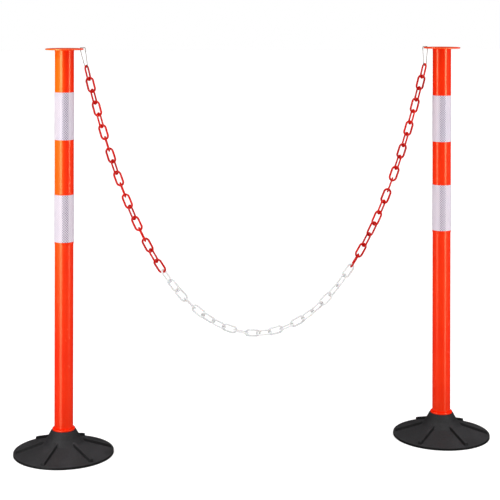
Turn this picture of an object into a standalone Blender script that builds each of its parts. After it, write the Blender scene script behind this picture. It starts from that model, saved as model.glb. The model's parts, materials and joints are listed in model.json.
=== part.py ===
"""Two chain barrier stanchions on rubber bases, joined by a hanging chain of plastic links.

Metres, +Z up. The origin is on the floor, midway between the posts, which stand along X.
Both stanchions are the same but for the heights of their reflective bands.
"""

import math

import bmesh
import bpy
from mathutils import Matrix, Vector

# Whole set
POST_SPACING = 1.138
POST_TOP = 1.180
SMOOTH_ANGLE = math.radians(35)
FIT = 0.0003
MERGE = 0.000001

# Rubber base
BASE_RADIUS = 0.1455
BASE_HEIGHT = 0.070
BASE_SEGMENTS = 36
RIM_HEIGHT = 0.0055
RIM_BEVEL = 0.002
CONE_FOOT = (0.138, 0.0085)
CONE_HEAD = (0.060, 0.0330)
NECK_BEND = (0.0470, 0.0495)
NECK_TOP_RADIUS = 0.0355
NECK_BEVEL = 0.0015
SOCKET_RADIUS = 0.0203
SOCKET_FLOOR = 0.022
VENT_RADIUS = 0.0068
RECESS_RADIUS = 0.112
RECESS_SLOPE = 0.003
RECESS_DEPTH = 0.004

# Ribs on the base
RIB_COUNT = 6
RIB_FIRST_DEG = {"left": -56.0, "right": -74.0}
RIB_HEIGHT = 0.008
RIB_INNER = 0.030
RIB_OUTER = 0.139
RIB_NOSE = 0.004
RIB_TOP_WIDTH = 0.0105
RIB_FOOT_WIDTH = 0.0145
RIB_FLOOR = 0.0052
RIB_CREST_SHARE = 0.75
RIB_SHOULDER_SHARE = 0.75
RIB_SHOULDER_OUT = 0.0007
# Along a rib's blunt end: shares of the nose's length, of the rib's height and of its width
RIB_NOSE_STATIONS = ((0.0, 1.0, 1.0), (0.65, 0.86, 0.94), (1.0, 0.30, 0.84))

# Post tube
TUBE_RADIUS = 0.0279
TUBE_LOWER_RADIUS = 0.0272
TUBE_BORE = 0.0247
TUBE_SEGMENTS = 32
SHOULDER_DROP = 0.006
SHOULDER_HEIGHT = 0.003

# Foot plug: a flange on the base, one spigot up into the tube and one down into the socket
FLANGE_RADIUS = 0.0328
FLANGE_THICKNESS = 0.004
FLANGE_BEVEL = 0.0012
UPPER_SPIGOT_HEIGHT = 0.040
LOWER_SPIGOT_DEPTH = 0.045
PLUG_BORE = 0.0165
PLUG_CHAMFER = 0.0015
PLUG_SEGMENTS = 24

# Top cap: a disc with four holes and a skirt that plugs the tube
CAP_RADIUS = 0.0555
CAP_THICKNESS = 0.0035
CAP_EDGE = 0.0008
CAP_SEGMENTS = 48
SKIRT_WALL = 0.0022
SKIRT_DEPTH = 0.025
SKIRT_CHAMFER = 0.0008
HOLE_COUNT = 4
HOLE_RADIUS = 0.004
HOLE_CIRCLE = 0.045
HOLE_SEGMENTS = 12
HOLE_PIN_LENGTH = 0.010

# Reflective bands: (lowest, highest) edge of the lower and of the upper band
BAND_SPANS = {
    "left": ((0.618, 0.755), (0.915, 1.053)),
    "right": ((0.625, 0.763), (0.894, 1.034)),
}
BAND_THICKNESS = 0.0004

# Wire loops, closed rings that pass through a cap hole and round the disc's edge
LOOP_WIRE = 0.0009
LOOP_WIRE_SIDES = 6
LOOP_ARC_STEPS = 6
LOOP_RISE = 0.0042
LOOP_TOP_BEND = 0.0025
LOOP_OUTER_REACH = 0.0600
LOOP_END_BEND = 0.0042
LOOP_END_REACH = {"left": 0.0636, "right": 0.0540}

# Chain
LINK_COUNT = 56
LINK_PITCH = 0.03593
LINK_GAP = 0.0006
LINK_WIRE_IN_PLANE = 0.0029
LINK_WIRE_ACROSS = 0.0022
LINK_WIDTH = 0.0270
LINK_WIRE_SIDES = 6
LINK_ARC_STEPS = 5
CHAIN_END_HEIGHT = 1.1258
MIDDLE_SLACK = 0.0024
PAIRED_LINKS = 10
BEAD_RADIUS = 0.0017
RED_LINKS = 18

# Times the search for the catenary's step halves its span
HALVINGS = 60

# Roll of the links about the chain's own line: every link stands a quarter turn from the one
# before it, and the slack chain rolls a little further here and there (link number, degrees)
ROLL_DEG = 24.0
ROLL_DRIFT = (
    (1.0, 2.0),
    (19.0, 4.0),
    (20.0, 11.0),
    (22.0, 55.0),
    (24.0, 15.0),
    (26.0, -3.0),
    (28.0, 0.0),
    (30.0, -9.0),
    (31.0, -22.0),
    (33.0, -3.0),
    (34.0, 16.0),
    (35.0, 21.0),
    (36.0, 13.0),
    (37.0, -10.0),
    (41.0, -10.0),
    (43.0, 17.0),
    (45.0, 28.0),
    (47.0, 73.0),
    (56.0, 78.0),
)
# Single links that are twisted back from their neighbours
TWISTED_LINKS = (7, 11, 15, 27, 39)
TWIST_DEG = -22.0

ORANGE = ("orange_plastic", (1.0, 0.055, 0.004), 0.38, 0.0)
REFLECTIVE = ("reflective_film", (0.70, 0.62, 0.72), 0.30, 0.0)
RUBBER = ("black_rubber", (0.035, 0.033, 0.036), 0.75, 0.0)
RED = ("red_plastic", (0.72, 0.012, 0.010), 0.35, 0.0)
WHITE = ("white_plastic", (0.78, 0.78, 0.80), 0.40, 0.0)
STEEL = ("steel_wire", (0.42, 0.41, 0.41), 0.35, 1.0)


def clear_scene():
    for obj in list(bpy.data.objects):
        bpy.data.objects.remove(obj, do_unlink=True)


def material(name, colour, roughness, metallic):
    made = bpy.data.materials.get(name)
    if made:
        return made
    made = bpy.data.materials.new(name)
    made.use_nodes = True
    shader = made.node_tree.nodes["Principled BSDF"]
    shader.inputs["Base Color"].default_value = (*colour, 1.0)
    shader.inputs["Roughness"].default_value = roughness
    shader.inputs["Metallic"].default_value = metallic
    made.diffuse_color = (*colour, 1.0)
    return made


def finish_mesh(bm, name):
    """Turns every face outwards and shades the round stretches smooth."""
    bmesh.ops.recalc_face_normals(bm, faces=bm.faces)
    mesh = bpy.data.meshes.new(name)
    bm.to_mesh(mesh)
    bm.free()
    mesh.shade_smooth()
    mesh.set_sharp_from_angle(angle=SMOOTH_ANGLE)
    return mesh


def add_object(name, mesh, look, matrix=None):
    if look and not mesh.materials:
        mesh.materials.append(material(*look))
    obj = bpy.data.objects.new(name, mesh)
    bpy.context.scene.collection.objects.link(obj)
    if matrix:
        obj.matrix_world = matrix
    return obj


def add_helper(name, mesh, matrix=None):
    helper = add_object(name, mesh, None, matrix)
    helper.hide_render = True
    helper.display_type = "WIRE"
    return helper


def add_boolean(obj, helper, operation):
    modifier = obj.modifiers.new(helper.name, "BOOLEAN")
    modifier.operation = operation
    modifier.solver = "EXACT"
    modifier.object = helper


def turned_mesh(name, profile, segments):
    """The (radius, height) profile turned round Z; it is a loop, or starts and ends on Z."""
    bm = bmesh.new()
    points = [bm.verts.new((radius, 0.0, height)) for radius, height in profile]
    edges = [bm.edges.new((a, b)) for a, b in zip(points, points[1:])]
    if profile[0][0] > 0.0:
        edges.append(bm.edges.new((points[-1], points[0])))
    bmesh.ops.spin(
        bm,
        geom=points + edges,
        cent=(0.0, 0.0, 0.0),
        axis=(0.0, 0.0, 1.0),
        angle=math.tau,
        steps=segments,
        use_merge=True,
    )
    bmesh.ops.remove_doubles(bm, verts=bm.verts, dist=MERGE)
    return finish_mesh(bm, name)


def swept_mesh(name, path, half_out, half_up, sides):
    """A closed wire: an oval section carried round a closed path of (x, z) points.

    The section reaches half_out in the path's plane and half_up across it.
    """
    bm = bmesh.new()
    rings = []
    for index, (x, z) in enumerate(path):
        before = Vector(path[index - 1])
        after = Vector(path[(index + 1) % len(path)])
        along = (after - before).normalized()
        here = Vector((x, z))
        mitre = (here - before).normalized().dot(along)
        ring = []
        for side in range(sides):
            angle = math.tau * (side + 0.5) / sides
            out = half_out * math.cos(angle) / mitre
            up = half_up * math.sin(angle)
            ring.append(bm.verts.new((x + out * along.y, up, z - out * along.x)))
        rings.append(ring)
    for ring, following in zip(rings, rings[1:] + rings[:1]):
        for side in range(sides):
            turn = (side + 1) % sides
            bm.faces.new((ring[side], ring[turn], following[turn], following[side]))
    return finish_mesh(bm, name)


def arc_points(centre, radius, start, end, steps):
    """Points on an arc, both ends included, in the (x, z) plane."""
    angles = [start + (end - start) * step / steps for step in range(steps + 1)]
    return [
        (centre[0] + radius * math.cos(a), centre[1] + radius * math.sin(a)) for a in angles
    ]


def belt_path(circles, steps):
    """The outline of a belt laid anticlockwise round circles of ((x, z), radius)."""
    leaving = []
    for (centre, radius), (goal, goal_radius) in zip(circles, circles[1:] + circles[:1]):
        across = Vector(goal) - Vector(centre)
        lean = math.asin((radius - goal_radius) / across.length)
        leaving.append(math.atan2(across.y, across.x) - math.pi / 2 + lean)
    path = []
    for index, (centre, radius) in enumerate(circles):
        start = leaving[index - 1]
        end = start + (leaving[index] - start) % math.tau
        path += arc_points(centre, radius, start, end, steps)
    return path


def cone_height(radius):
    """Height of the base's shallow cone at this radius."""
    (low_radius, low), (high_radius, high) = CONE_FOOT, CONE_HEAD
    return low + (low_radius - radius) * (high - low) / (low_radius - high_radius)


def rib_mesh(side):
    """Six radial ribs with sloping sides and blunt rounded noses, each a closed bar."""
    stations = [(RIB_INNER, RIB_HEIGHT, 1.0)]
    for along, height, width in RIB_NOSE_STATIONS:
        stations.append((RIB_OUTER - RIB_NOSE * (1.0 - along), RIB_HEIGHT * height, width))
    bm = bmesh.new()
    for rib in range(RIB_COUNT):
        angle = RIB_FIRST_DEG[side] + rib * 360.0 / RIB_COUNT
        turn = Matrix.Rotation(math.radians(angle), 3, "Z")
        rings = []
        for radius, proud, narrowing in stations:
            top = cone_height(radius) + proud
            half_top = 0.5 * RIB_TOP_WIDTH * narrowing
            half_foot = 0.5 * RIB_FOOT_WIDTH * narrowing
            half_crest = RIB_CREST_SHARE * half_top
            shoulder = cone_height(radius) + RIB_SHOULDER_SHARE * proud
            corners = [
                (-half_foot, RIB_FLOOR),
                (half_foot, RIB_FLOOR),
                (half_foot, cone_height(radius)),
                (half_top + RIB_SHOULDER_OUT, shoulder),
                (half_crest, top),
                (-half_crest, top),
                (-half_top - RIB_SHOULDER_OUT, shoulder),
                (-half_foot, cone_height(radius)),
            ]
            rings.append([bm.verts.new(turn @ Vector((radius, y, z))) for y, z in corners])
        for ring, following in zip(rings, rings[1:]):
            for corner in range(len(ring)):
                turned = (corner + 1) % len(ring)
                bm.faces.new((ring[corner], ring[turned], following[turned], following[corner]))
        bm.faces.new(rings[0])
        bm.faces.new(rings[-1])
    return finish_mesh(bm, "base_ribs")


def base_profile():
    return [
        (BASE_RADIUS, RIM_HEIGHT),
        (BASE_RADIUS - RIM_BEVEL, RIM_HEIGHT + RIM_BEVEL),
        CONE_FOOT,
        CONE_HEAD,
        NECK_BEND,
        (NECK_TOP_RADIUS, BASE_HEIGHT - NECK_BEVEL),
        (NECK_TOP_RADIUS - NECK_BEVEL, BASE_HEIGHT),
        (SOCKET_RADIUS, BASE_HEIGHT),
        (SOCKET_RADIUS, SOCKET_FLOOR),
        (VENT_RADIUS, SOCKET_FLOOR),
        (VENT_RADIUS, RECESS_DEPTH),
        (RECESS_RADIUS - RECESS_SLOPE, RECESS_DEPTH),
        (RECESS_RADIUS, 0.0),
        (BASE_RADIUS, 0.0),
    ]


def plug_profile():
    flange_low = BASE_HEIGHT + FIT
    flange_high = flange_low + FLANGE_THICKNESS
    spigot_top = flange_high + UPPER_SPIGOT_HEIGHT
    spigot_foot = flange_low - LOWER_SPIGOT_DEPTH
    upper = TUBE_BORE - FIT
    lower = SOCKET_RADIUS - FIT
    return [
        (PLUG_BORE, spigot_top),
        (upper - PLUG_CHAMFER, spigot_top),
        (upper, spigot_top - PLUG_CHAMFER),
        (upper, flange_high),
        (FLANGE_RADIUS - FLANGE_BEVEL, flange_high),
        (FLANGE_RADIUS, flange_high - FLANGE_BEVEL),
        (FLANGE_RADIUS, flange_low),
        (lower, flange_low),
        (lower, spigot_foot + PLUG_CHAMFER),
        (lower - PLUG_CHAMFER, spigot_foot),
        (PLUG_BORE, spigot_foot),
    ]


def tube_profile(side):
    foot = BASE_HEIGHT + FLANGE_THICKNESS + 2 * FIT
    head = POST_TOP - CAP_THICKNESS - FIT
    shoulder = BAND_SPANS[side][0][0] - SHOULDER_DROP
    return [
        (TUBE_RADIUS, head),
        (TUBE_RADIUS, shoulder),
        (TUBE_LOWER_RADIUS, shoulder - SHOULDER_HEIGHT),
        (TUBE_LOWER_RADIUS, foot),
        (TUBE_BORE, foot),
        (TUBE_BORE, head),
    ]


def band_profile(low, high):
    inner = TUBE_RADIUS + FIT
    outer = inner + BAND_THICKNESS
    return [(outer, high), (outer, low), (inner, low), (inner, high)]


def cap_profile():
    """From the axis out along the top, round the disc, down the skirt and back to the axis."""
    under = POST_TOP - CAP_THICKNESS
    skirt = TUBE_BORE - FIT
    return [
        (0.0, POST_TOP),
        (CAP_RADIUS - CAP_EDGE, POST_TOP),
        (CAP_RADIUS, POST_TOP - CAP_EDGE),
        (CAP_RADIUS, under),
        (skirt, under),
        (skirt, under - SKIRT_DEPTH + SKIRT_CHAMFER),
        (skirt - SKIRT_CHAMFER, under - SKIRT_DEPTH),
        (skirt - SKIRT_WALL, under - SKIRT_DEPTH),
        (skirt - SKIRT_WALL, under),
        (0.0, under),
    ]


def hole_mesh():
    """Four upright pins through the cap disc, one every quarter turn."""
    bm = bmesh.new()
    for hole in range(HOLE_COUNT):
        angle = math.tau * hole / HOLE_COUNT
        spot = Vector((HOLE_CIRCLE * math.cos(angle), HOLE_CIRCLE * math.sin(angle), 0.0))
        spot.z = POST_TOP - 0.5 * CAP_THICKNESS
        bmesh.ops.create_cone(
            bm,
            cap_ends=True,
            segments=HOLE_SEGMENTS,
            radius1=HOLE_RADIUS,
            radius2=HOLE_RADIUS,
            depth=HOLE_PIN_LENGTH,
            matrix=Matrix.Translation(spot),
        )
    return finish_mesh(bm, "cap_holes")


def inboard(side):
    """+1 where the other post lies towards +X, and -1 where it lies towards -X."""
    return 1.0 if side == "left" else -1.0


def post_x(side):
    return -inboard(side) * 0.5 * POST_SPACING


def add_stanchion(side):
    """One post: every piece hangs from an empty on the post's axis, at floor level."""
    axis = bpy.data.objects.new(f"{side}_post_axis", None)
    bpy.context.scene.collection.objects.link(axis)
    axis.location = (post_x(side), 0.0, 0.0)

    base = add_object(
        f"{side}_rubber_base", turned_mesh("rubber_base", base_profile(), BASE_SEGMENTS), RUBBER
    )
    ribs = add_helper(f"{side}_base_ribs", rib_mesh(side))
    add_boolean(base, ribs, "UNION")

    plug = add_object(
        f"{side}_foot_plug", turned_mesh("foot_plug", plug_profile(), PLUG_SEGMENTS), ORANGE
    )
    tube = add_object(
        f"{side}_post_tube", turned_mesh("post_tube", tube_profile(side), TUBE_SEGMENTS), ORANGE
    )
    pieces = [base, ribs, plug, tube]
    for place, (low, high) in zip(("lower", "upper"), BAND_SPANS[side]):
        band = turned_mesh("reflective_band", band_profile(low, high), TUBE_SEGMENTS)
        pieces.append(add_object(f"{side}_{place}_reflective_band", band, REFLECTIVE))

    cap = add_object(
        f"{side}_top_cap", turned_mesh("top_cap", cap_profile(), CAP_SEGMENTS), ORANGE
    )
    holes = add_helper(f"{side}_cap_holes", hole_mesh())
    add_boolean(cap, holes, "DIFFERENCE")
    for piece in pieces + [cap, holes]:
        piece.parent = axis


def chain_angles():
    """Slope of each link, on a catenary: its tangent grows by the same step at every link."""
    middle = 0.5 * (LINK_COUNT + 1)
    span = chain_end("right").x - chain_end("left").x + MIDDLE_SLACK

    def angles(step):
        return [math.atan(step * (link - middle)) for link in range(1, LINK_COUNT + 1)]

    low, high = 0.0, 1.0
    for _ in range(HALVINGS):
        step = 0.5 * (low + high)
        reach = sum(LINK_PITCH * math.cos(angle) for angle in angles(step))
        low, high = (step, high) if reach > span else (low, step)
    return angles(0.5 * (low + high))


def chain_end(side):
    """The point where the chain's last link bears on the wire loop."""
    reach = LOOP_END_REACH[side]
    return Vector((post_x(side) + inboard(side) * reach, 0.0, CHAIN_END_HEIGHT))


def chain_joints():
    """(start, end) contact points of every link; each half is counted from its own post."""
    angles = chain_angles()
    half = LINK_COUNT // 2
    steps = [LINK_PITCH * Vector((math.cos(a), 0.0, math.sin(a))) for a in angles]
    spans = []
    here = chain_end("left")
    for step in steps[:half]:
        spans.append((here, here + step))
        here = here + step
    back = []
    here = chain_end("right")
    for step in reversed(steps[half:]):
        back.append((here - step, here))
        here = here - step
    return spans + back[::-1]


def roll_drift(number):
    """The extra roll at this link, straight between the points of ROLL_DRIFT, in degrees."""
    twist = TWIST_DEG if number in TWISTED_LINKS else 0.0
    for (low, before), (high, after) in zip(ROLL_DRIFT, ROLL_DRIFT[1:]):
        if number <= high:
            return twist + before + (after - before) * (number - low) / (high - low)
    return ROLL_DRIFT[-1][1]


def link_roll(number):
    """Turn of a link's plane about the chain's line, in radians, from facing -Y."""
    return math.radians(ROLL_DEG + 90.0 * number + roll_drift(number))


def link_path():
    """Centre line of a link's wire, long axis along X: two half circles and two straights.

    The corners stand outside the true half circle, so that its chords keep the room inside.
    """
    bend = 0.5 * LINK_WIDTH - LINK_WIRE_IN_PLANE
    reach = 0.5 * (LINK_PITCH + LINK_GAP) + LINK_WIRE_IN_PLANE - bend
    quarter = 0.5 * math.pi
    corner = bend / math.cos(quarter / LINK_ARC_STEPS)
    right = arc_points((reach, 0.0), corner, -quarter, quarter, LINK_ARC_STEPS)
    left = arc_points((-reach, 0.0), corner, quarter, 3 * quarter, LINK_ARC_STEPS)
    return right + left


def link_matrix(number, start, end):
    along = (end - start).normalized()
    facing = Vector((0.0, -1.0, 0.0))
    across = along.cross(facing)
    roll = link_roll(number)
    normal = math.cos(roll) * facing + math.sin(roll) * across
    third = along.cross(normal)
    place = Matrix((along, normal, third)).transposed().to_4x4()
    place.translation = 0.5 * (start + end)
    return place


def bead_mesh():
    """A small bead that joins two links where one bears on the other."""
    bm = bmesh.new()
    bmesh.ops.create_icosphere(bm, subdivisions=1, radius=BEAD_RADIUS)
    return finish_mesh(bm, "bead")


def link_look(number):
    red = number <= RED_LINKS or number > LINK_COUNT - RED_LINKS
    return RED if red else WHITE


def add_chain():
    """Links near the posts, where the chain hardly bends, are joined in pairs."""
    look_meshes = {}
    for look in (RED, WHITE):
        mesh = swept_mesh(
            f"link_{look[0]}",
            link_path(),
            LINK_WIRE_IN_PLANE,
            LINK_WIRE_ACROSS,
            LINK_WIRE_SIDES,
        )
        mesh.materials.append(material(*look))
        look_meshes[look[0]] = mesh
    spans = chain_joints()
    number = 1
    while number <= LINK_COUNT:
        start, end = spans[number - 1]
        mesh = look_meshes[link_look(number)[0]]
        place = link_matrix(number, start, end)
        paired = number < PAIRED_LINKS or number > LINK_COUNT - PAIRED_LINKS
        if not paired:
            add_object(f"chain_link_{number:02d}", mesh, None, place)
            number += 1
            continue
        pair = add_object(f"chain_links_{number:02d}_{number + 1:02d}", mesh, None, place)
        bead = add_helper(f"{pair.name}_bead", bead_mesh(), Matrix.Translation(end))
        second_place = link_matrix(number + 1, *spans[number])
        second = add_helper(f"{pair.name}_second", mesh, second_place)
        add_boolean(pair, bead, "UNION")
        add_boolean(pair, second, "UNION")
        number += 2


def add_wire_loop(side):
    """A closed wire through the cap's inboard hole; its origin is on the swing axis."""
    toward = inboard(side)
    swing_height = POST_TOP - 0.5 * CAP_THICKNESS
    start, end = chain_joints()[0 if side == "left" else -1]
    away = (end - start).normalized() * toward
    end_point = chain_end(side)
    bend_centre = end_point - away * (LOOP_END_BEND - LOOP_WIRE - 0.5 * LINK_GAP)
    top = swing_height + LOOP_RISE - LOOP_TOP_BEND
    inner_x = post_x(side) + toward * (HOLE_CIRCLE + LOOP_TOP_BEND)
    outer_x = post_x(side) + toward * (LOOP_OUTER_REACH - LOOP_TOP_BEND)
    circles = [
        ((bend_centre.x, bend_centre.z), LOOP_END_BEND),
        ((outer_x, top), LOOP_TOP_BEND),
        ((inner_x, top), LOOP_TOP_BEND),
    ]
    if side == "right":
        circles = [circles[0], circles[2], circles[1]]
    path = belt_path(circles, LOOP_ARC_STEPS)
    origin = Vector((post_x(side) + toward * HOLE_CIRCLE, 0.0, swing_height))
    local_path = [(x - origin.x, z - origin.z) for x, z in path]
    mesh = swept_mesh("wire_loop", local_path, LOOP_WIRE, LOOP_WIRE, LOOP_WIRE_SIDES)
    loop = add_object(f"{side}_wire_loop", mesh, STEEL)
    loop.location = origin


def main():
    clear_scene()
    for side in ("left", "right"):
        add_stanchion(side)
        add_wire_loop(side)
    add_chain()


main()
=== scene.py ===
"""Looks of the chain stanchion set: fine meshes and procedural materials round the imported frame."""

import json
import math

import bmesh
import bpy
from mathutils import Matrix, Quaternion, Vector


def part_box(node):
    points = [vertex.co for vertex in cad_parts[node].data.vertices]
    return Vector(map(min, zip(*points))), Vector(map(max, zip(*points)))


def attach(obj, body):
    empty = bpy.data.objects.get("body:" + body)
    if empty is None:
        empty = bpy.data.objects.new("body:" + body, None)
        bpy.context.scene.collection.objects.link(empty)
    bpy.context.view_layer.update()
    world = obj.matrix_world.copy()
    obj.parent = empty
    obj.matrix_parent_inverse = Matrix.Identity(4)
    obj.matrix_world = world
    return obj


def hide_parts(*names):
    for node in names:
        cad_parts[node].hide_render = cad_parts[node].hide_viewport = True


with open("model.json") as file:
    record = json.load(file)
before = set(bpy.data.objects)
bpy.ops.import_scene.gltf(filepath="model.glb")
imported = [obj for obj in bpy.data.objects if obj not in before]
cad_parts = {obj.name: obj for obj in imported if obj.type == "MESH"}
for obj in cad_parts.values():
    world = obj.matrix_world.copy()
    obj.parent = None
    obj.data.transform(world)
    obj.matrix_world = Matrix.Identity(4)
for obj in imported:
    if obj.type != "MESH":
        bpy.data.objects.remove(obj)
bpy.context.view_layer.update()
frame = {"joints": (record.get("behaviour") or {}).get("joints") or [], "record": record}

SIDES = ("left", "right")
SHARP_ANGLE = math.radians(40)
JOINTS = {joint["name"]: joint for joint in frame["joints"]}
JOINT_INTO = {joint["child"]: joint for joint in frame["joints"]}
BODIES = frame["record"]["behaviour"]["bodies"]
BODY_OF = {node: body for body, nodes in BODIES.items() for node in nodes}

# Turned parts: the gap to a neighbour, the two usual edge roundings, and each part's own sizes
TURN_STEPS = 144
EDGE_STEPS = 5
CLEARANCE = 0.0003
ROUNDING = 0.0008
FINE_ROUNDING = 0.0004
TUBE_WALL = 0.0020
TUBE_EDGE = 0.0006
LOWER_STEP = 0.0007
SHOULDER_DROP = 0.0060
SHOULDER_HEIGHT = 0.0030
SHOULDER_BEND = 0.0010
FLANGE_LIP = 0.0009
FLANGE_LIP_WIDTH = 0.0022
FLANGE_FOOT_EDGE = 0.0006
PLUG_BORE = 0.0165
PLUG_UPPER_RADIUS = 0.0244
PLUG_LOWER_RADIUS = 0.0200
CAP_THICKNESS = 0.0035
CAP_EDGE = 0.0009
CAP_EDGE_STEPS = 4
CAP_HOLES = 4
CAP_HOLE_RADIUS = 0.0040
CAP_HOLE_CIRCLE = 0.0450
CAP_HOLE_STEPS = 40
SKIRT_RADIUS = 0.0244
SKIRT_WALL = 0.0022
SKIRT_DROP = 0.0001

# Film wrapped round the tube: its free end laps over its start at the back
FILM_RADIUS = 0.0284
FILM_CELL = 0.0070
# The film's painted shade, where its cells face the eye, is turned this far aside
FILM_LEAN_DEG = 8.0
FILM_INSET = 0.0004
FILM_THICKNESS = 0.0003
FILM_EDGE = 0.00008
FILM_LIFT = 0.00015
FILM_LAP = 0.012
FILM_SEAM_DEG = 100.0

# Rubber base
BASE_RADIUS = 0.1455
BASE_HEIGHT = 0.0700
RIM_TOP = 0.0075
RIM_WIDTH = 0.0030
RIM_OUTER_BEND = 0.0016
RIM_INNER_BEND = 0.0010
CONE_FOOT = (0.1380, 0.0085)
CONE_FOOT_BEND = 0.0300
CONE_HEAD = (0.0600, 0.0330)
NECK_BEND = (0.0470, 0.0495)
NECK_BLEND = 0.0160
NECK_TOP_RADIUS = 0.0355
NECK_TOP_BEND = 0.0016
SOCKET_RADIUS = 0.0203
SOCKET_FLOOR = 0.0220
VENT_RADIUS = SOCKET_RADIUS / 3
RECESS_RADIUS = 0.1120
RECESS_DEPTH = 0.0040
RECESS_SLOPE = 0.0030

# Ribs on the base. The mesh's lines follow them: RIB_LINES are distances from a rib's middle,
# and within RADIAL_WITHIN of the axis every line is radial
RIB_COUNT = 6
RIB_FIRST_DEG = {"left": -56.0, "right": -74.0}
RIB_HEIGHT = 0.0080
RIB_OUTER = 0.1390
RIB_NOSE = 0.0022
RIB_NOSE_FOOT = 0.0004
RIB_CREST = 0.0044
RIB_FOOT = 0.0068
RIB_LINES = (0.0, 0.0022, 0.0038, 0.0044, 0.0049, 0.0053, 0.0057, 0.0061, 0.0066, 0.0072)
LINES_BETWEEN_RIBS = 44
RADIAL_WITHIN = 0.8 * NECK_TOP_RADIUS
SKIN_STEP = 0.0018
FINE_SKIN_STEP = 0.0006

# Wire loops, of a wire 0.2 mm thicker than the CAD's
LOOP_WIRE = 0.0010
LOOP_WIRE_SIDES = 16
LOOP_ARC_STEPS = 20
LOOP_RISE = 0.0042
LOOP_TOP_BEND = 0.0025
LOOP_OUTER_REACH = 0.0600
LOOP_END_BEND = 0.0042
LOOP_END_GAP = 0.0006

# Chain. Its links are 0.6 mm thicker and wider than the CAD's, and the gap between two links is
# 0.4 mm where the CAD has 0.6 mm
LINK_COUNT = 56
LINK_PITCH = 0.03593
LINK_GAP = 0.0004
LINK_WIRE_IN_PLANE = 0.0032
LINK_WIRE_ACROSS = 0.0025
LINK_WIDTH = 0.0276
LINK_WIRE_SIDES = 20
LINK_ARC_STEPS = 20
LINK_STRAIGHT_STEPS = 8
PARTING_LINE = 0.00010
MIDDLE_SLACK = 0.0024
CATENARY_HALVINGS = 60
PAIRED_LINKS = 10
RED_LINKS = 18
# Every link stands a quarter turn from the one before it, and the slack chain rolls a little
# further here and there (link number, degrees)
ROLL_DEG = 24.0
ROLL_DRIFT = (
    (1.0, 2.0),
    (19.0, 4.0),
    (20.0, 11.0),
    (22.0, 55.0),
    (24.0, 15.0),
    (26.0, -3.0),
    (28.0, 0.0),
    (30.0, -9.0),
    (31.0, -22.0),
    (33.0, -3.0),
    (34.0, 16.0),
    (35.0, 21.0),
    (36.0, 13.0),
    (37.0, -10.0),
    (41.0, -10.0),
    (43.0, 17.0),
    (45.0, 28.0),
    (47.0, 73.0),
    (56.0, 78.0),
)
# Single links that are twisted back from their neighbours
TWISTED_LINKS = (7, 11, 15, 27, 39)
TWIST_DEG = -22.0

# Oranges of the posts and of the caps: a deep and a light shade each. The caps' lighter shades are
# partly the caps' own tone and partly painted light, for the strong light that the caps' tops take
# from above
POST_ORANGE = ((0.96, 0.018, 0.0005), (1.0, 0.030, 0.001))
CAP_ORANGE = ((1.0, 0.060, 0.012), (1.0, 0.095, 0.020))
# Links: a deep and a light shade, the colour of rub marks, and the range of roughness
RED_LINK = ((0.48, 0.004, 0.003), (0.72, 0.014, 0.006), (0.9, 0.25, 0.16), (0.24, 0.36))
WHITE_LINK = ((0.69, 0.69, 0.695), (0.76, 0.76, 0.76), (0.80, 0.80, 0.80), (0.45, 0.58))

# Camera and lights
CAMERA_PLACE = (-0.620, -3.967, 1.325)
CAMERA_HEADING_DEG = 8.575
CAMERA_ROLL_DEG = 0.106
CAMERA_LENS = 97.0
CAMERA_SENSOR = 36.0
CAMERA_SHIFT = -0.50166
# The lens is shifted while the camera is this near its own x, and centred this far from it
CAMERA_SHIFT_HELD = 0.02
CAMERA_SHIFT_GONE = 0.04
WORLD_LIGHT = 0.22
OVERHEAD_POWER = 3.0
OVERHEAD_SPREAD_DEG = 100.0
OVERHEAD_TILT_DEG = 12.0
# The fills are tall soft boxes that give plain light and don't show in reflections:
# name, place, width and power
FILL_FOOT = 0.10
FILL_HEAD = 2.20
FILLS = (
    ("left_fill", (-1.65, -0.35), 0.40, 8.5),
    ("right_fill", (1.55, -0.35), 0.40, 6.0),
)
# The highlights show only in reflections. They grow brighter from nothing at their foot
HIGHLIGHT_FOOT = -0.60
HIGHLIGHT_FULL = 1.00
HIGHLIGHT_HEAD = 2.20
HIGHLIGHTS = (
    ("left_highlight", (-0.92, -0.44), 0.30, 27.0),
    ("right_highlight", (1.08, -0.78), 0.18, 27.0),
)
GLOSSY_WORLD_LIGHT = 0.03
FLOOR_REACH = 30.0
FLOOR_GLOW = 0.15


# ---------------------------------------------------------------- materials


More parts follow.
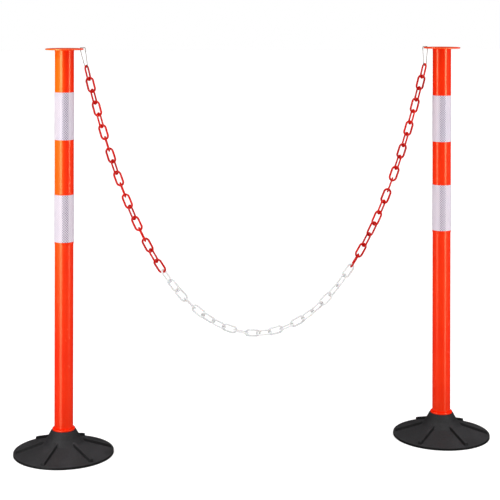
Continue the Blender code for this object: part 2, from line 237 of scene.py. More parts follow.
class Look:
    """One procedural material. Every method adds a node and returns one of its outputs."""

    def __init__(self, name):
        self.material = bpy.data.materials.new(name)
        self.material.use_nodes = True
        self.tree = self.material.node_tree
        self.shader = self.tree.nodes["Principled BSDF"]

    def node(self, kind, inputs=None, **settings):
        made = self.tree.nodes.new("ShaderNode" + kind)
        for key, value in settings.items():
            setattr(made, key, value)
        for key, value in (inputs or {}).items():
            self.feed(made.inputs[key], value)
        return made

    def feed(self, socket, value):
        if isinstance(value, bpy.types.NodeSocket):
            self.tree.links.new(value, socket)
        elif isinstance(value, tuple) and len(value) == 3 and socket.type == "RGBA":
            socket.default_value = (*value, 1.0)
        else:
            socket.default_value = value

    def place(self, scale=(1.0, 1.0, 1.0)):
        """Object coordinates in metres, stretched by scale."""
        where = self.node("TexCoord").outputs["Object"]
        return self.node("Mapping", {"Vector": where, "Scale": scale}).outputs["Vector"]

    def noise(self, scale, stretch=(1.0, 1.0, 1.0), detail=4.0, roughness=0.55):
        made = self.node(
            "TexNoise",
            {
                "Vector": self.place(stretch),
                "Scale": scale,
                "Detail": detail,
                "Roughness": roughness,
            },
        )
        return made.outputs["Fac"]

    def ramp(self, value, low, high, to_low=0.0, to_high=1.0):
        """value taken from low..high to to_low..to_high, smoothly and with no overshoot."""
        made = self.node(
            "MapRange",
            {"Value": value, "From Min": low, "From Max": high, "To Min": to_low, "To Max": to_high},
            interpolation_type="SMOOTHSTEP",
        )
        return made.outputs["Result"]

    def math(self, operation, first, second=0.0):
        made = self.node("Math", operation=operation)
        for socket, value in zip(made.inputs, (first, second)):
            self.feed(socket, value)
        return made.outputs[0]

    def mix(self, factor, first, second):
        made = self.node("Mix", data_type="RGBA")
        colours = [socket for socket in made.inputs if socket.type == "RGBA"]
        self.feed(made.inputs[0], factor)
        self.feed(colours[0], first)
        self.feed(colours[1], second)
        return [socket for socket in made.outputs if socket.type == "RGBA"][0]

    def bump(self, height, distance, strength, normal=None):
        inputs = {"Height": height, "Distance": distance, "Strength": strength}
        if normal:
            inputs["Normal"] = normal
        return self.node("Bump", inputs).outputs["Normal"]

    def axes(self, vector):
        split = self.node("SeparateXYZ", {"Vector": vector})
        return split.outputs[0], split.outputs[1], split.outputs[2]

    def finish(self, **inputs):
        for key, value in inputs.items():
            self.feed(self.shader.inputs[key.replace("_", " ")], value)
        return self.material


def orange_plastic(name, deep, light, painted_light_share):
    """Extruded, satin orange plastic: faint streaks along the tube, scuffs, and a painted light that
    tints the left-facing side yellow-orange, more so higher up.
    """
    # The first colour is painted light: the yellow-orange of the side that a lamp on the left lights
    painted_side_light_colour = (0.95, 0.165, 0.001)
    streak_colour = (0.80, 0.008, 0.002)
    scuff_colour = (1.0, 0.22, 0.10)
    look = Look(name)
    streaks = look.noise(90.0, (1.0, 1.0, 0.02), 3.0)
    clouds = look.noise(5.0, detail=3.0)
    scuffs = look.ramp(look.noise(60.0, (1.0, 1.0, 0.35), 8.0, 0.7), 0.60, 0.74)
    facing = look.axes(look.node("TexCoord").outputs["Normal"])[0]
    # Painted light: the side facing left is tinted yellow-orange, fading towards the foot, standing in
    # for a lamp on the left; the last argument sets how much
    side = look.ramp(look.math("MULTIPLY", facing, -1.0), -0.20, 0.65)
    height = look.ramp(look.axes(look.place())[2], 0.25, 1.05)
    painted_side_light = look.math("MULTIPLY", look.math("MULTIPLY", side, height), painted_light_share)
    base = look.mix(look.ramp(clouds, 0.3, 0.7), deep, light)
    side_lit = look.mix(painted_side_light, base, painted_side_light_colour)
    streaked = look.mix(look.math("MULTIPLY", streaks, 0.10), side_lit, streak_colour)
    worn = look.mix(look.math("MULTIPLY", scuffs, 0.05), streaked, scuff_colour)
    roughness = look.ramp(streaks, 0.25, 0.75, 0.20, 0.27)
    roughness = look.math("ADD", roughness, look.math("MULTIPLY", scuffs, 0.15))
    peel = look.bump(look.noise(700.0, detail=2.0), 0.00005, 0.35)
    normal = look.bump(streaks, 0.00012, 0.35, peel)
    return look.finish(
        Base_Color=worn,
        Roughness=roughness,
        Normal=normal,
        Specular_IOR_Level=0.5,
        Specular_Tint=(1.0, 0.75, 0.38),
    )


def reflective_film():
    """Prismatic film: rows of sealed cells under a clear skin, with a painted shade that darkens the
    cells where they face the eye, where they would mirror back no lamp.
    """
    skin_shades = ((0.66, 0.60, 0.69), (0.71, 0.63, 0.70))
    # The cell colour is a painted shade, for cells that face the eye and mirror back no lamp
    cell_shade_colour = (0.20, 0.17, 0.25)
    wall_colour = (0.86, 0.82, 0.88)
    look = Look("reflective_film")
    x, y, z = look.axes(look.place())
    around = look.math("MULTIPLY", look.math("ARCTAN2", y, x), FILM_RADIUS)
    turn = math.tau / FILM_CELL
    up = look.math("MULTIPLY", z, turn)
    across = look.math("MULTIPLY", around, turn)
    first = look.math("SINE", look.math("MULTIPLY", look.math("ADD", up, across), 0.5))
    second = look.math("SINE", look.math("MULTIPLY", look.math("SUBTRACT", up, across), 0.5))
    cells = look.math("ABSOLUTE", look.math("MULTIPLY", first, second))
    wall = look.ramp(cells, 0.03, 0.20, 1.0, 0.0)
    heart = look.ramp(cells, 0.36, 0.70)
    surface = look.node("NewGeometry")
    level = look.node(
        "VectorMath", {0: surface.outputs["Incoming"], 1: (1.0, 1.0, 0.0)}, operation="MULTIPLY"
    )
    heading = look.node("VectorMath", {0: level.outputs["Vector"]}, operation="NORMALIZE")
    toward_eye = look.node(
        "VectorRotate",
        {"Vector": heading.outputs["Vector"], "Angle": math.radians(FILM_LEAN_DEG)},
        rotation_type="Z_AXIS",
    )
    facing = look.node(
        "VectorMath",
        {0: surface.outputs["Normal"], 1: toward_eye.outputs["Vector"]},
        operation="DOT_PRODUCT",
    )
    # Painted shade: the cells darken where the film faces the eye, turned a few degrees aside,
    # standing in for the film mirroring back no lamp
    painted_shade_toward_eye = look.ramp(facing.outputs["Value"], 0.91, 0.98, 0.08, 1.0)
    grain = look.noise(900.0, detail=2.0)
    clouds = look.noise(16.0, (1.0, 1.0, 0.5), 3.0)
    pale = look.mix(look.ramp(clouds, 0.35, 0.65), *skin_shades)
    painted_cell_shade = look.math("MULTIPLY", heart, painted_shade_toward_eye)
    dotted = look.mix(painted_cell_shade, pale, cell_shade_colour)
    walled = look.mix(look.math("MULTIPLY", wall, 0.40), dotted, wall_colour)
    roughness = look.ramp(grain, 0.3, 0.7, 0.26, 0.36)
    relief = look.math("ADD", cells, look.math("MULTIPLY", grain, 0.1))
    normal = look.bump(relief, 0.0002, 0.20)
    return look.finish(
        Base_Color=walled,
        Roughness=roughness,
        Normal=normal,
        Specular_IOR_Level=0.18,
    )


def black_rubber():
    """Moulded rubber: a crumb grain, flow marks, pale dust on top that is partly painted light from
    above, and a painted shade on the steeper walls.
    """
    skin_shades = ((0.0085, 0.0082, 0.0092), (0.0175, 0.017, 0.0185))
    # The wall colour is a painted shade for faces that turn sideways
    wall_colour = (0.0035, 0.0034, 0.0038)
    # A pale colour that is dust and painted light from above at once
    dust_and_top_light_colour = (0.036, 0.035, 0.038)
    speck_colour = (0.060, 0.058, 0.062)
    look = Look("black_rubber")
    crumb = look.noise(1400.0, detail=3.0, roughness=0.6)
    grain = look.noise(420.0, detail=5.0, roughness=0.6)
    clouds = look.noise(14.0, detail=5.0)
    cells = look.node("TexVoronoi", {"Vector": look.place(), "Scale": 900.0}).outputs["Distance"]
    up = look.axes(look.node("TexCoord").outputs["Normal"])[2]
    # Pale patches on the upward faces: partly real dust, partly painted light from above
    dust_and_top_light = look.math("MULTIPLY", look.ramp(up, 0.2, 1.0), look.ramp(clouds, 0.42, 0.70))
    base = look.mix(look.ramp(grain, 0.3, 0.7), *skin_shades)
    # Painted shade: faces that turn sideways, such as the rib walls and the neck, are darkened, as
    # light from above leaves them darker
    walled = look.mix(look.ramp(up, 0.25, 0.55), wall_colour, base)
    dusted_and_top_lit = look.mix(look.math("MULTIPLY", dust_and_top_light, 0.35), walled, dust_and_top_light_colour)
    specks = look.mix(look.ramp(crumb, 0.66, 0.80), dusted_and_top_lit, speck_colour)
    roughness = look.ramp(clouds, 0.3, 0.7, 0.62, 0.80)
    fine = look.bump(cells, 0.00012, 0.5)
    normal = look.bump(grain, 0.00030, 0.6, fine)
    return look.finish(
        Base_Color=specks, Roughness=roughness, Normal=normal, Specular_IOR_Level=0.2
    )


def link_plastic(name, deep, light, rubbed_colour, roughness_range):
    """Injection-moulded link: flow clouds, a slight difference from link to link, rub marks."""
    look = Look(name)
    flow = look.noise(70.0, detail=3.0)
    fine = look.noise(600.0, detail=3.0)
    scratches = look.ramp(look.noise(260.0, (0.2, 1.0, 1.0), 6.0, 0.7), 0.60, 0.72)
    each = look.node("ObjectInfo").outputs["Random"]
    shade = look.math("ADD", look.math("MULTIPLY", flow, 0.7), look.math("MULTIPLY", each, 0.3))
    base = look.mix(look.ramp(shade, 0.25, 0.75), deep, light)
    rubbed = look.mix(look.math("MULTIPLY", scratches, 0.12), base, rubbed_colour)
    low, high = roughness_range
    roughness = look.ramp(fine, 0.3, 0.7, low, high)
    roughness = look.math("ADD", roughness, look.math("MULTIPLY", scratches, 0.12))
    normal = look.bump(fine, 0.00004, 0.4)
    return look.finish(
        Base_Color=rubbed,
        Roughness=roughness,
        Normal=normal,
        Specular_IOR_Level=0.10,
        Subsurface_Weight=0.08,
        Subsurface_Scale=0.002,
    )


def steel_wire():
    """Drawn wire: fine lines along it and a few dull spots."""
    bright_colour = (0.19, 0.155, 0.125)
    dull_colour = (0.10, 0.085, 0.07)
    look = Look("steel_wire")
    lines = look.noise(2500.0, (1.0, 1.0, 0.03), 2.0)
    spots = look.ramp(look.noise(300.0, detail=4.0), 0.55, 0.70)
    base = look.mix(spots, bright_colour, dull_colour)
    roughness = look.ramp(spots, 0.0, 1.0, 0.40, 0.60)
    normal = look.bump(lines, 0.00002, 0.4)
    return look.finish(Base_Color=base, Roughness=roughness, Normal=normal, Metallic=0.5)


def floor_look():
    """Matt white, with just enough glow to stay white to look at."""
    look = Look("studio_floor")
    tone = look.ramp(look.noise(0.6, detail=2.0), 0.3, 0.7)
    base = look.mix(tone, (0.90, 0.90, 0.90), (0.92, 0.92, 0.92))
    seen = look.node("LightPath").outputs["Is Camera Ray"]
    return look.finish(
        Base_Color=base,
        Roughness=0.9,
        Specular_IOR_Level=0.1,
        Emission_Color=(1.0, 1.0, 1.0),
        Emission_Strength=look.math("MULTIPLY", seen, FLOOR_GLOW),
    )


# ---------------------------------------------------------------- meshes


def make_mesh(name, points, faces):
    mesh = bpy.data.meshes.new(name)
    mesh.from_pydata([tuple(point) for point in points], [], faces)
    mesh.validate()
    bm = bmesh.new()
    bm.from_mesh(mesh)
    bmesh.ops.recalc_face_normals(bm, faces=bm.faces)
    bm.to_mesh(mesh)
    bm.free()
    mesh.shade_smooth()
    mesh.set_sharp_from_angle(angle=SHARP_ANGLE)
    return mesh


def add_piece(name, mesh, look, body, place, stands_for=()):
    """Places the mesh, gives it its look and lets it ride on its body."""
    mesh.materials.clear()
    mesh.materials.append(look)
    piece = bpy.data.objects.new(name, mesh)
    bpy.context.scene.collection.objects.link(piece)
    piece.matrix_world = place
    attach(piece, body)
    if stands_for:
        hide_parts(*stands_for)


def lattice(name, rings):
    """Faces between rings of points; each ring is closed, and so is the row of rings."""
    points = [point for ring in rings for point in ring]
    size = len(rings[0])
    faces = []
    count = len(rings)
    for row in range(count):
        here, above = row * size, ((row + 1) % count) * size
        for side in range(size):
            turn = (side + 1) % size
            faces.append((here + side, here + turn, above + turn, above + side))
    return make_mesh(name, points, faces)


def rounded(corners):
    """A (radius, height) outline whose corners (radius, height, bend) become arcs."""
    outline = []
    count = len(corners)
    for index, (radius, height, bend) in enumerate(corners):
        corner = Vector((radius, height))
        if bend <= 0.0:
            outline.append(corner)
            continue
        before = (Vector(corners[index - 1][:2]) - corner).normalized()
        after = (Vector(corners[(index + 1) % count][:2]) - corner).normalized()
        half = 0.5 * before.angle(after)
        reach = bend / math.tan(half)
        middle = (before + after).normalized()
        centre = corner + middle * (bend / math.sin(half))
        start = corner + before * reach - centre
        end = corner + after * reach - centre
        turn = start.angle_signed(end)
        for step in range(EDGE_STEPS + 1):
            angle = -turn * step / EDGE_STEPS
            arm = Vector(
                (
                    start.x * math.cos(angle) - start.y * math.sin(angle),
                    start.x * math.sin(angle) + start.y * math.cos(angle),
                )
            )
            outline.append(centre + arm)
    return outline


def turned(name, outline):
    """The closed outline turned round Z."""
    rings = []
    for step in range(TURN_STEPS):
        angle = math.tau * step / TURN_STEPS
        cosine, sine = math.cos(angle), math.sin(angle)
        rings.append([(p.x * cosine, p.x * sine, p.y) for p in outline])
    return lattice(name, rings)


def arc_points(centre, radius, start, end, steps):
    angles = [start + (end - start) * step / steps for step in range(steps + 1)]
    return [
        Vector((centre[0] + radius * math.cos(a), centre[1] + radius * math.sin(a)))
        for a in angles
    ]


def swept(name, path, section):
    """A closed wire along a closed (x, z) path; section gives (out, up) points of its skin."""
    rings = []
    for index, here in enumerate(path):
        before, after = path[index - 1], path[(index + 1) % len(path)]
        along = (after - before).normalized()
        rings.append(
            [(here.x + out * along.y, up, here.y - out * along.x) for out, up in section]
        )
    return lattice(name, rings)


# ---------------------------------------------------------------- stanchion


def post_axis(side):
    """The post's axis, at floor level, from the joint that its base turns on."""
    place = JOINTS[f"{side}_base_turn"]["pos_m"]
    return Matrix.Translation((place[0], place[1], 0.0))


def tube_outline(side):
    low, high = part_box(f"{side}_post_tube")
    band_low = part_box(f"{side}_lower_reflective_band")[0]
    upper = 0.5 * (high.x - low.x)
    lower = upper - LOWER_STEP
    shoulder = band_low.z - SHOULDER_DROP
    bore = lower - TUBE_WALL
    return rounded(
        [
            (upper, high.z, TUBE_EDGE),
            (upper, shoulder, SHOULDER_BEND),
            (lower, shoulder - SHOULDER_HEIGHT, SHOULDER_BEND),
            (lower, low.z, TUBE_EDGE),
            (bore, low.z, 0.0),
            (bore, high.z, 0.0),
        ]
    )


def flange_outline(side):
    """The foot plug: a dished flange with a raised lip, and its two spigots."""
    low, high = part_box(f"{side}_foot_plug")
    radius = 0.5 * (high.x - low.x)
    tube_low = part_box(f"{side}_post_tube")[0].z
    base_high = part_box(f"{side}_rubber_base")[1].z
    under = base_high + CLEARANCE
    seat = tube_low - CLEARANCE
    lip_inner = radius - FLANGE_LIP_WIDTH
    return rounded(
        [
            (PLUG_BORE, high.z, 0.0),
            (PLUG_UPPER_RADIUS, high.z, ROUNDING),
            (PLUG_UPPER_RADIUS, seat, 0.0),
            (lip_inner - FLANGE_LIP, seat, FINE_ROUNDING),
            (lip_inner, seat + FLANGE_LIP, FINE_ROUNDING),
            (radius, seat + FLANGE_LIP, ROUNDING),
            (radius, under, FLANGE_FOOT_EDGE),
            (PLUG_LOWER_RADIUS, under, 0.0),
            (PLUG_LOWER_RADIUS, low.z, ROUNDING),
            (PLUG_BORE, low.z, 0.0),
        ]
    )


def film_mesh(low, high, inner):
    """A sleeve of film with square-cut edges, thicker where the free end laps over."""
    lap = math.degrees(FILM_LAP / inner)
    rings = []
    for step in range(TURN_STEPS):
        degrees = 360.0 * step / TURN_STEPS
        past = (degrees - FILM_SEAM_DEG) % 360.0
        lapped = past < lap
        outer = inner + FILM_THICKNESS + (FILM_LIFT if lapped else 0.0)
        angle = math.radians(degrees)
        cosine, sine = math.cos(angle), math.sin(angle)
        outline = [
            (outer - FILM_EDGE, high),
            (outer, high - FILM_EDGE),
            (outer, low + FILM_EDGE),
            (outer - FILM_EDGE, low),
            (inner, low),
            (inner, high),
        ]
        rings.append([(radius * cosine, radius * sine, z) for radius, z in outline])
    return lattice("film", rings)


def cap_disc_mesh(radius):
    """A flat disc with rounded edges, and four holes with the same rounding."""
    curve = bpy.data.curves.new("cap_disc", "CURVE")
    curve.dimensions = "2D"
    curve.fill_mode = "BOTH"
    curve.extrude = 0.5 * CAP_THICKNESS - CAP_EDGE
    curve.bevel_depth = CAP_EDGE
    curve.bevel_resolution = CAP_EDGE_STEPS
    curve.offset = -CAP_EDGE
    rounds = [(0.0, 0.0, radius, TURN_STEPS)]
    for hole in range(CAP_HOLES):
        angle = math.tau * hole / CAP_HOLES
        x, y = CAP_HOLE_CIRCLE * math.cos(angle), CAP_HOLE_CIRCLE * math.sin(angle)
        rounds.append((x, y, CAP_HOLE_RADIUS, CAP_HOLE_STEPS))
    for x, y, size, steps in rounds:
        line = curve.splines.new("POLY")
        line.points.add(steps - 1)
        line.use_cyclic_u = True
        for step, point in enumerate(line.points):
            angle = math.tau * step / steps
            point.co = (x + size * math.cos(angle), y + size * math.sin(angle), 0.0, 1.0)
    holder = bpy.data.objects.new("cap_disc", curve)
    bpy.context.scene.collection.objects.link(holder)
    bpy.context.view_layer.update()
    evaluated = holder.evaluated_get(bpy.context.evaluated_depsgraph_get())
    mesh = bpy.data.meshes.new_from_object(evaluated)
    bpy.data.objects.remove(holder, do_unlink=True)
    bpy.data.curves.remove(curve)
    mesh.shade_smooth()
    mesh.set_sharp_from_angle(angle=SHARP_ANGLE)
    return mesh


def smooth_step(value, low, high):
    share = min(1.0, max(0.0, (value - low) / (high - low)))
    return share * share * (3.0 - 2.0 * share)


def base_outline():
    """The base's outer outline, from the rim's foot to the neck's top. Its two end corners are
    left out again: they only give the first and last bend their direction."""
    outline = rounded(
        [
            (0.5 * BASE_RADIUS, 0.0, 0.0),
            (BASE_RADIUS, 0.0, ROUNDING),
            (BASE_RADIUS, RIM_TOP, RIM_OUTER_BEND),
            (BASE_RADIUS - RIM_WIDTH, RIM_TOP, RIM_INNER_BEND),
            (*CONE_FOOT, CONE_FOOT_BEND),
            (*CONE_HEAD, NECK_BLEND),
            (*NECK_BEND, NECK_BLEND),
            (NECK_TOP_RADIUS, BASE_HEIGHT, NECK_TOP_BEND),
            (0.5 * NECK_TOP_RADIUS, BASE_HEIGHT, 0.0),
        ]
    )
    return outline[1:-1]


def resampled(outline, spacing):
    """Adds points so that no step along the outline is longer than spacing(point)."""
    dense = []
    for here, there in zip(outline, outline[1:]):
        parts = max(1, math.ceil((there - here).length / spacing(here.lerp(there, 0.5))))
        dense += [here.lerp(there, part / parts) for part in range(parts)]
    return dense + [outline[-1]]


def cone_height(radius):
    (low_radius, low), (high_radius, high) = CONE_FOOT, CONE_HEAD
    return low + (low_radius - radius) * (high - low) / (low_radius - high_radius)


def rib_rise(radius, sideways, surface):
    """How far a rib stands above the surface, this far out and this far from its middle."""
    wall = 1.0 - smooth_step(abs(sideways), RIB_CREST, RIB_FOOT)
    nose = 1.0 - smooth_step(radius, RIB_OUTER - RIB_NOSE, RIB_OUTER + RIB_NOSE_FOOT)
    crown = cone_height(radius) + RIB_HEIGHT
    return max(0.0, crown - surface) * wall * nose


def base_lines(side):
    """The mesh's lines round the base: (rib's angle, distance from its middle, share of the gap
    to the next rib)."""
    sides = sorted({sign * half for half in RIB_LINES for sign in (-1.0, 1.0)})
    lines = []
    for rib in range(RIB_COUNT):
        angle = math.radians(RIB_FIRST_DEG[side] + rib * 360.0 / RIB_COUNT)
        lines += [(angle, half, 0.0) for half in sides]
        for line in range(1, LINES_BETWEEN_RIBS + 1):
            lines.append((angle, sides[-1], line / (LINES_BETWEEN_RIBS + 1)))
    return lines


def line_angle(angle, sideways, share, radius):
    """Where a line crosses this radius; the ribs' own lines run parallel to the rib."""
    spread = math.asin(sideways / max(radius, RADIAL_WITHIN))
    gap = math.tau / RIB_COUNT - 2.0 * spread
    return angle + spread + share * gap


def base_mesh(side):
    """The turned body with six ribs raised on its cone, a socket and a hollow underside."""

    def skin_step(point):
        return FINE_SKIN_STEP if point.x > RIB_OUTER - 2.0 * RIB_NOSE else SKIN_STEP

    skin = resampled(base_outline(), skin_step)
    inside = [
        Vector((SOCKET_RADIUS + ROUNDING, BASE_HEIGHT)),
        Vector((SOCKET_RADIUS, BASE_HEIGHT - ROUNDING)),
        Vector((SOCKET_RADIUS, SOCKET_FLOOR)),
        Vector((VENT_RADIUS, SOCKET_FLOOR)),
        Vector((VENT_RADIUS, RECESS_DEPTH)),
        Vector((RECESS_RADIUS - RECESS_SLOPE, RECESS_DEPTH)),
        Vector((RECESS_RADIUS, 0.0)),
    ]
    rings = []
    for angle, sideways, share in base_lines(side):
        ring = []
        for index, point in enumerate(skin + inside):
            height = point.y
            if index < len(skin) and share == 0.0:
                height += rib_rise(point.x, sideways, point.y)
            turn = line_angle(angle, sideways, share, point.x)
            ring.append((point.x * math.cos(turn), point.x * math.sin(turn), height))
        rings.append(ring)
    return lattice("rubber_base", rings)


def add_orange_piece(name, mesh, side, look, stands_for=()):
    """A piece of orange plastic on the post's axis, which rides on the post."""
    add_piece(name, mesh, look, f"{side}_post", post_axis(side), stands_for)


def add_tube(side, looks):
    mesh = turned("tube", tube_outline(side))
    node = f"{side}_post_tube"
    add_orange_piece(f"{side}_tube", mesh, side, looks[f"{side}_orange"], [node])


def add_flange(side, looks):
    mesh = turned("flange", flange_outline(side))
    node = f"{side}_foot_plug"
    add_orange_piece(f"{side}_foot_flange", mesh, side, looks[f"{side}_orange"], [node])


def add_film(side, level, looks):
    node = f"{side}_{level}_reflective_band"
    low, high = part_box(node)
    mesh = film_mesh(low.z, high.z, 0.5 * (high.x - low.x) - FILM_INSET)
    name = f"{side}_{level}_film"
    place = post_axis(side)
    add_piece(name, mesh, looks["film"], f"{side}_post", place, [node])


def add_cap(side, looks):
    node = f"{side}_top_cap"
    low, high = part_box(node)
    disc = cap_disc_mesh(0.5 * (high.x - low.x))
    disc.transform(Matrix.Translation((0.0, 0.0, high.z - 0.5 * CAP_THICKNESS)))
    add_orange_piece(f"{side}_cap_disc", disc, side, looks[f"{side}_cap"], [node])

    top = high.z - CAP_THICKNESS - SKIRT_DROP
    outline = rounded(
        [
            (SKIRT_RADIUS, top, 0.0),
            (SKIRT_RADIUS, low.z, ROUNDING),
            (SKIRT_RADIUS - SKIRT_WALL, low.z, FINE_ROUNDING),
            (SKIRT_RADIUS - SKIRT_WALL, top, 0.0),
        ]
    )
    add_orange_piece(f"{side}_cap_skirt", turned("skirt", outline), side, looks[f"{side}_cap"])


def add_base(side, looks):
    name = f"{side}_base"
    node = f"{side}_rubber_base"
    mesh = base_mesh(side)
    add_piece(name, mesh, looks["rubber"], name, post_axis(side), [node])


def add_stanchion(side, looks):
    add_tube(side, looks)
    add_flange(side, looks)
    for level in ("lower", "upper"):
        add_film(side, level, looks)
    add_cap(side, looks)
    add_base(side, looks)


# ---------------------------------------------------------------- chain


def belt_path(circles, steps):
    """The outline of a belt laid anticlockwise round circles of ((x, z), radius)."""
    leaving = []
    for (centre, radius), (goal, goal_radius) in zip(circles, circles[1:] + circles[:1]):
        across = Vector(goal) - Vector(centre)
        lean = math.asin((radius - goal_radius) / across.length)
        leaving.append(math.atan2(across.y, across.x) - math.pi / 2 + lean)
    path = []
    for index, (centre, radius) in enumerate(circles):
        start = leaving[index - 1]
        end = start + (leaving[index] - start) % math.tau
        path += arc_points(centre, radius, start, end, steps)
    return path


def round_section(radius, sides):
    return [
        (radius * math.cos(math.tau * side / sides), radius * math.sin(math.tau * side / sides))
        for side in range(sides)
    ]


def link_section():
    """An oval wire with a fine parting line on its outer and inner sides."""
    section = []
    for side in range(LINK_WIRE_SIDES):
        angle = math.tau * side / LINK_WIRE_SIDES
        ridge = side % (LINK_WIRE_SIDES // 2) == 0
        half_out = LINK_WIRE_IN_PLANE + (PARTING_LINE if ridge else 0.0)
        section.append((half_out * math.cos(angle), LINK_WIRE_ACROSS * math.sin(angle)))
    return section


def link_path():
    """Centre line of a link: two half circles and two straights, long axis along X."""
    bend = 0.5 * LINK_WIDTH - LINK_WIRE_IN_PLANE
    reach = 0.5 * (LINK_PITCH + LINK_GAP) + LINK_WIRE_IN_PLANE - bend
    quarter = 0.5 * math.pi
    right = arc_points((reach, 0.0), bend, -quarter, quarter, LINK_ARC_STEPS)
    left = arc_points((-reach, 0.0), bend, quarter, 3 * quarter, LINK_ARC_STEPS)
    step = 2 * reach / LINK_STRAIGHT_STEPS
    return resampled(right + left + right[:1], lambda point: step)[:-1]


def chain_end(node):
    """The joint that the chain's end node hangs from, as a point."""
    return Vector(JOINT_INTO[BODY_OF[node]]["pos_m"])


def chain_spans():
    """(start, end) of every link on the catenary between the chain's two end joints."""
    first = chain_end("chain_links_01_02")
    last = chain_end("chain_links_55_56")
    middle = 0.5 * (LINK_COUNT + 1)
    span = last.x - first.x + MIDDLE_SLACK

    def angles(step):
        return [math.atan(step * (link - middle)) for link in range(1, LINK_COUNT + 1)]

    low, high = 0.0, 1.0
    for _ in range(CATENARY_HALVINGS):
        step = 0.5 * (low + high)
        reach = sum(LINK_PITCH * math.cos(angle) for angle in angles(step))
        low, high = (step, high) if reach > span else (low, step)
    steps = [
        LINK_PITCH * Vector((math.cos(a), 0.0, math.sin(a))) for a in angles(0.5 * (low + high))
    ]
    half = LINK_COUNT // 2
    spans, back = [], []
    here = first
    for step in steps[:half]:
        spans.append((here, here + step))
        here = here + step
    here = last
    for step in reversed(steps[half:]):
        back.append((here - step, here))
        here = here - step
    return spans + back[::-1]


def roll_drift(number):
    """The extra roll at this link, straight between the points of ROLL_DRIFT, in degrees."""
    twist = TWIST_DEG if number in TWISTED_LINKS else 0.0
    for (low, before), (high, after) in zip(ROLL_DRIFT, ROLL_DRIFT[1:]):
        if number <= high:
            return twist + before + (after - before) * (number - low) / (high - low)
    return ROLL_DRIFT[-1][1]


def link_place(number, start, end):
    along = (end - start).normalized()
    facing = Vector((0.0, -1.0, 0.0))
    across = along.cross(facing)
    roll = math.radians(ROLL_DEG + 90.0 * number + roll_drift(number))
    normal = math.cos(roll) * facing + math.sin(roll) * across
    place = Matrix((along, normal, along.cross(normal))).transposed().to_4x4()
    place.translation = 0.5 * (start + end)
    return place


def add_chain(looks):
    spans = chain_spans()
    for number in range(1, LINK_COUNT + 1):
        red = number <= RED_LINKS or number > LINK_COUNT - RED_LINKS
        paired = number <= PAIRED_LINKS or number > LINK_COUNT - PAIRED_LINKS
        first = number - 1 + number % 2
        node = f"chain_links_{first:02d}_{first + 1:02d}" if paired else f"chain_link_{number:02d}"
        colour = "red" if red else "white"
        mesh = swept(f"link_{number:02d}", link_path(), link_section())
        stands_for = [node] if number == first or not paired else ()
        add_piece(
            f"link_{number:02d}",
            mesh,
            looks[colour],
            BODY_OF[node],
            link_place(number, *spans[number - 1]),
            stands_for,
        )
    return spans


def add_wire_loop(side, spans, looks):
    """A closed wire through the cap's inboard hole; the chain's end link bears on its foot."""
    toward = 1.0 if side == "left" else -1.0
    swing = Vector(JOINTS["chain_swing" if side == "left" else "right_loop_swing"]["pos_m"])
    post = JOINTS[f"{side}_base_turn"]["pos_m"][0]
    start, end = spans[0 if side == "left" else -1]
    away = (end - start).normalized() * toward
    end_point = start if side == "left" else end
    bend_centre = end_point - away * (LOOP_END_BEND - LOOP_WIRE - 0.5 * LOOP_END_GAP)
    top = swing.z + LOOP_RISE - LOOP_TOP_BEND
    inner = (post + toward * (CAP_HOLE_CIRCLE + LOOP_TOP_BEND), top)
    outer = (post + toward * (LOOP_OUTER_REACH - LOOP_TOP_BEND), top)
    tops = [outer, inner] if side == "left" else [inner, outer]
    circles = [((bend_centre.x, bend_centre.z), LOOP_END_BEND)]
    circles += [(point, LOOP_TOP_BEND) for point in tops]
    path = [point - Vector((swing.x, swing.z)) for point in belt_path(circles, LOOP_ARC_STEPS)]
    mesh = swept(f"{side}_loop", path, round_section(LOOP_WIRE, LOOP_WIRE_SIDES))
    add_piece(
        f"{side}_loop",
        mesh,
        looks["steel"],
        f"{side}_loop",
        Matrix.Translation(swing),
        [f"{side}_wire_loop"],
    )


# ---------------------------------------------------------------- studio


def add_floor():
    """A pale floor that glossy parts don't mirror and that lets the low highlights through."""
    corners = [
        (x * FLOOR_REACH, y * FLOOR_REACH, 0.0) for x, y in ((-1, -1), (1, -1), (1, 1), (-1, 1))
    ]
    mesh = bpy.data.meshes.new("studio_floor")
    mesh.from_pydata(corners, [], [(0, 1, 2, 3)])
    mesh.materials.append(floor_look())
    floor = bpy.data.objects.new("studio_floor", mesh)
    bpy.context.scene.collection.objects.link(floor)
    floor.visible_glossy = False
    floor.visible_shadow = False


def add_softbox(name, place, width, foot, head, power):
    """A soft upright light that faces the middle of the set and is itself out of sight."""
    x, y = place
    light = bpy.data.lights.new(name, "AREA")
    light.shape = "RECTANGLE"
    light.size = width
    light.size_y = head - foot
    light.energy = power
    lamp = bpy.data.objects.new(name, light)
    bpy.context.scene.collection.objects.link(lamp)
    lamp.location = (x, y, 0.5 * (foot + head))
    lamp.rotation_euler = Vector((-x, -y, 0.0)).to_track_quat("-Z", "Y").to_euler()
    lamp.visible_camera = False
    return lamp


def add_fade(light):
    """Lets an upright light grow brighter with height, from nothing at its foot."""
    light.use_nodes = True
    tree = light.node_tree
    place = tree.nodes.new("ShaderNodeNewGeometry")
    split = tree.nodes.new("ShaderNodeSeparateXYZ")
    fade = tree.nodes.new("ShaderNodeMapRange")
    fade.clamp = False
    fade.inputs["From Min"].default_value = HIGHLIGHT_FOOT
    fade.inputs["From Max"].default_value = HIGHLIGHT_FULL
    tree.links.new(place.outputs["Position"], split.inputs["Vector"])
    tree.links.new(split.outputs["Z"], fade.inputs["Value"])
    tree.links.new(fade.outputs["Result"], tree.nodes["Emission"].inputs["Strength"])


def add_overhead():
    """A wide, even light from above, which keeps the floor pale all the way out."""
    light = bpy.data.lights.new("overhead", "SUN")
    light.energy = OVERHEAD_POWER
    light.angle = math.radians(OVERHEAD_SPREAD_DEG)
    lamp = bpy.data.objects.new("overhead", light)
    bpy.context.scene.collection.objects.link(lamp)
    lamp.rotation_euler = (math.radians(OVERHEAD_TILT_DEG), 0.0, 0.0)


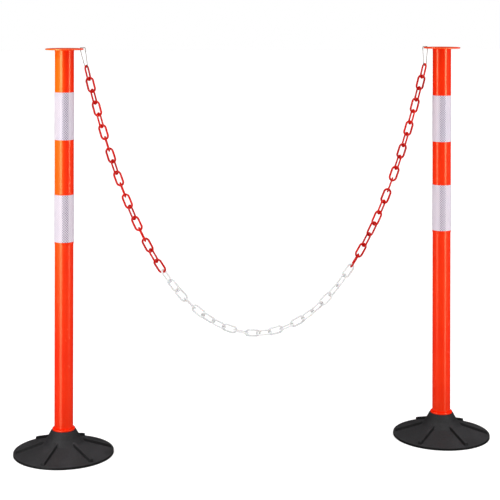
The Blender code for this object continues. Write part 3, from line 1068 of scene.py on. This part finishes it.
def add_world():
    """White to look at, a dimmer white as a light, and darker again in reflections."""
    world = bpy.data.worlds.new("studio")
    world.use_nodes = True
    tree = world.node_tree
    background = tree.nodes["Background"]
    background.inputs["Color"].default_value = (1.0, 1.0, 1.0, 1.0)
    ray = tree.nodes.new("ShaderNodeLightPath")
    strength = WORLD_LIGHT
    for kind, brightness in (("Is Glossy Ray", GLOSSY_WORLD_LIGHT), ("Is Camera Ray", 1.0)):
        choice = tree.nodes.new("ShaderNodeMix")
        tree.links.new(ray.outputs[kind], choice.inputs["Factor"])
        if isinstance(strength, float):
            choice.inputs["A"].default_value = strength
        else:
            tree.links.new(strength, choice.inputs["A"])
        choice.inputs["B"].default_value = brightness
        strength = choice.outputs["Result"]
    tree.links.new(strength, background.inputs["Strength"])
    bpy.context.scene.world = world


def add_studio():
    bpy.context.scene.view_settings.view_transform = "Standard"
    add_world()
    add_floor()
    add_overhead()
    for name, place, width, power in FILLS:
        fill = add_softbox(name, place, width, FILL_FOOT, FILL_HEAD, power)
        fill.visible_glossy = False
    for name, place, width, power in HIGHLIGHTS:
        highlight = add_softbox(name, place, width, HIGHLIGHT_FOOT, HIGHLIGHT_HEAD, power)
        highlight.visible_diffuse = False
        add_fade(highlight.data)


def hold_shift(camera, holder):
    """Lets a driver shift the lens only at the camera's own place, so that other views are centred."""
    curve = camera.driver_add("shift_y")
    curve.driver.type = "AVERAGE"
    place = curve.driver.variables.new()
    place.type = "TRANSFORMS"
    place.targets[0].id = holder
    place.targets[0].transform_type = "LOC_X"
    curve.modifiers.remove(curve.modifiers[0])
    home = CAMERA_PLACE[0]
    for x, shift in (
        (home - CAMERA_SHIFT_GONE, 0.0),
        (home - CAMERA_SHIFT_HELD, CAMERA_SHIFT),
        (home + CAMERA_SHIFT_HELD, CAMERA_SHIFT),
        (home + CAMERA_SHIFT_GONE, 0.0),
    ):
        curve.keyframe_points.insert(x, shift).interpolation = "LINEAR"


def add_camera():
    camera = bpy.data.cameras.new("camera")
    camera.lens = CAMERA_LENS
    camera.sensor_width = CAMERA_SENSOR
    holder = bpy.data.objects.new("camera", camera)
    bpy.context.scene.collection.objects.link(holder)
    holder.location = CAMERA_PLACE
    heading = math.radians(CAMERA_HEADING_DEG)
    ahead = Vector((math.sin(heading), math.cos(heading), 0.0)).to_track_quat("-Z", "Y")
    roll = Quaternion((0.0, 0.0, 1.0), math.radians(CAMERA_ROLL_DEG))
    holder.rotation_euler = (ahead @ roll).to_euler()
    hold_shift(camera, holder)
    bpy.context.scene.camera = holder


def main():
    looks = {
        # The left post and its cap carry the painted light from the left (1.0), the right ones none
        # (0.0)
        "left_orange": orange_plastic("left_orange", *POST_ORANGE, 1.0),
        "right_orange": orange_plastic("right_orange", *POST_ORANGE, 0.0),
        "left_cap": orange_plastic("left_cap_orange", *CAP_ORANGE, 1.0),
        "right_cap": orange_plastic("right_cap_orange", *CAP_ORANGE, 0.0),
        "film": reflective_film(),
        "rubber": black_rubber(),
        "red": link_plastic("red_plastic", *RED_LINK),
        "white": link_plastic("white_plastic", *WHITE_LINK),
        "steel": steel_wire(),
    }
    for side in SIDES:
        add_stanchion(side, looks)
    spans = add_chain(looks)
    for side in SIDES:
        add_wire_loop(side, spans, looks)
    add_studio()
    add_camera()


main()
